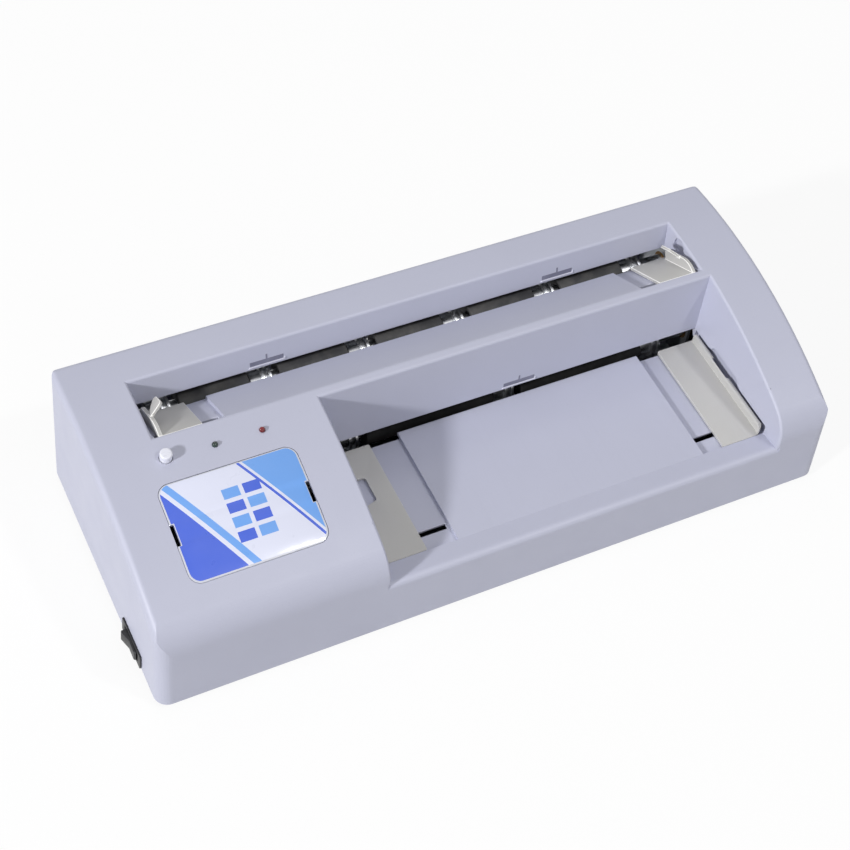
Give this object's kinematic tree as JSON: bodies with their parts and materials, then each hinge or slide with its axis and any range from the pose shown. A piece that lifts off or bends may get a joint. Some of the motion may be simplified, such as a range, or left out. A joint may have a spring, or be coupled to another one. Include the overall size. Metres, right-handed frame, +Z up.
{
  "type": "business card slitter",
  "caption": "Desk machine that slits a sheet into strips in an upper feed slot and the strips into cards in a lower one, with sliding paper guides, push button and rocker switch.",
  "frame": {"origin": "middle of the footprint, on the floor under the feet", "axes": "+X to the right along the feed slots, +Y to the back, +Z up"},
  "size_m": [0.3765, 0.1551, 0.0834],
  "materials": {
    "housing": "fine satin moulding, lavender grey",
    "guide": "smooth moulded, warm grey",
    "plate": "printed film under a clear gloss",
    "button": "gloss white",
    "green_lens": "tinted clear dome, unlit",
    "red_lens": "tinted clear dome",
    "black": "black moulded",
    "steel": "turned or cold rolled, bright",
    "dark_steel": "blackened",
    "sheet": "zinc plated sheet",
    "bronze": "sintered, oiled",
    "nylon": "natural nylon",
    "rubber": "matt black",
    "roller": "ground grey sleeve",
    "board": "coated laminate",
    "motor": "dark grey can"
  },
  "bodies": {
    "housing": {"top_cover": "housing", "base_plate": "sheet", "rubber_feet": "rubber", "foot_screws": "steel", "cover_screws": "steel", "left_frame": "sheet", "right_frame": "sheet", "tie_bars": "steel", "frame_screws": "dark_steel", "shaft_bushes": "bronze", "strip_exit_chute": "sheet", "card_exit_chute": "sheet", "upper_guide_plate": "housing", "lower_guide_plate": "housing", "nameplate": "plate", "push_switch": "black", "control_board": "board", "board_screws": "steel", "green_led": "green_lens", "red_led": "red_lens", "switch_body": "black", "power_inlet": "black", "inlet_pins": "steel", "drive_motor": "motor", "gearbox": "steel", "gearbox_screws": "dark_steel", "drive_gear_stud": "steel", "idler_stud": "steel", "power_supply": "motor"},
    "upper_left_slider": {"upper_left_guide": "guide", "upper_left_keeper": "dark_steel"},
    "upper_right_slider": {"upper_right_guide": "guide", "upper_right_keeper": "dark_steel"},
    "lower_left_slider": {"lower_left_guide": "guide", "lower_left_keeper": "dark_steel"},
    "lower_right_slider": {"lower_right_guide": "guide", "lower_right_keeper": "dark_steel"},
    "button": {"push_button": "button", "push_plunger": "nylon"},
    "switch_rocker": {"rocker": "black"},
    "motor_rotor": {"motor_shaft": "steel", "motor_pinion": "steel"},
    "drive_wheel": {"drive_gear": "nylon"},
    "idler_wheel": {"idler_gear": "nylon"},
    "strip_upper_roll": {"strip_upper_shaft": "steel", "strip_upper_gear": "nylon", "strip_upper_discs": "steel", "strip_upper_rollers": "roller"},
    "strip_lower_roll": {"strip_lower_shaft": "steel", "strip_lower_gear": "nylon", "strip_lower_discs": "steel", "strip_lower_rollers": "roller"},
    "card_upper_roll": {"card_upper_shaft": "steel", "card_upper_gear": "nylon", "card_upper_discs": "steel", "card_upper_rollers": "roller"},
    "card_lower_roll": {"card_lower_shaft": "steel", "card_lower_gear": "nylon", "card_lower_discs": "steel", "card_lower_rollers": "roller"}
  },
  "joints": [
    {"name": "upper_left_guide_slide", "type": "slide", "parent": "housing", "child": "upper_left_slider", "axis": [1, 0, 0], "range_m": [-0.0015, 0.011]},
    {"name": "upper_right_guide_slide", "type": "slide", "parent": "housing", "child": "upper_right_slider", "axis": [1, 0, 0], "range_m": [-0.011, 0.0015]},
    {"name": "lower_left_guide_slide", "type": "slide", "parent": "housing", "child": "lower_left_slider", "axis": [1, 0, 0], "range_m": [-0.0015, 0.016]},
    {"name": "lower_right_guide_slide", "type": "slide", "parent": "housing", "child": "lower_right_slider", "axis": [1, 0, 0], "range_m": [-0.012, 0.0005]},
    {"name": "button_press", "type": "slide", "parent": "housing", "child": "button", "axis": [0, 0.1463, -0.9892], "range_m": [0, 0.0015], "stiffness_N_per_m": 400},
    {"name": "rocker_tilt", "type": "hinge", "parent": "housing", "child": "switch_rocker", "pos_m": [-0.1831, -0.042, 0.0099], "axis": [0.0333, 0, 0.9994], "range_deg": [-16, 0]},
    {"name": "strip_lower_turn", "type": "hinge", "parent": "housing", "child": "strip_lower_roll", "pos_m": [-0.1, 0.05437, 0.04975], "axis": [1, 0, 0], "continuous": true},
    {"name": "strip_upper_turn", "type": "hinge", "parent": "housing", "child": "strip_upper_roll", "pos_m": [-0.1, 0.0629, 0.06514], "axis": [1, 0, 0], "continuous": true},
    {"name": "card_lower_turn", "type": "hinge", "parent": "housing", "child": "card_lower_roll", "pos_m": [-0.1, 0.02339, 0.0267], "axis": [1, 0, 0], "continuous": true},
    {"name": "card_upper_turn", "type": "hinge", "parent": "housing", "child": "card_upper_roll", "pos_m": [-0.1, 0.02339, 0.0443], "axis": [1, 0, 0], "continuous": true},
    {"name": "idler_turn", "type": "hinge", "parent": "housing", "child": "idler_wheel", "pos_m": [-0.1, 0.0435, 0.03202], "axis": [1, 0, 0], "continuous": true},
    {"name": "drive_gear_turn", "type": "hinge", "parent": "housing", "child": "drive_wheel", "pos_m": [-0.1, -0.00411, 0.03195], "axis": [1, 0, 0], "continuous": true},
    {"name": "motor_turn", "type": "hinge", "parent": "housing", "child": "motor_rotor", "pos_m": [-0.1, -0.02861, 0.03583], "axis": [1, 0, 0], "continuous": true}
  ],
  "couplings": [
    {"joint": "strip_upper_turn", "follows": "strip_lower_turn", "ratio": -1},
    {"joint": "card_lower_turn", "follows": "strip_lower_turn", "ratio": 1},
    {"joint": "card_upper_turn", "follows": "strip_lower_turn", "ratio": -1},
    {"joint": "idler_turn", "follows": "strip_lower_turn", "ratio": -0.73333},
    {"joint": "drive_gear_turn", "follows": "strip_lower_turn", "ratio": -0.45833},
    {"joint": "motor_turn", "follows": "strip_lower_turn", "ratio": 1.5714}
  ]
}
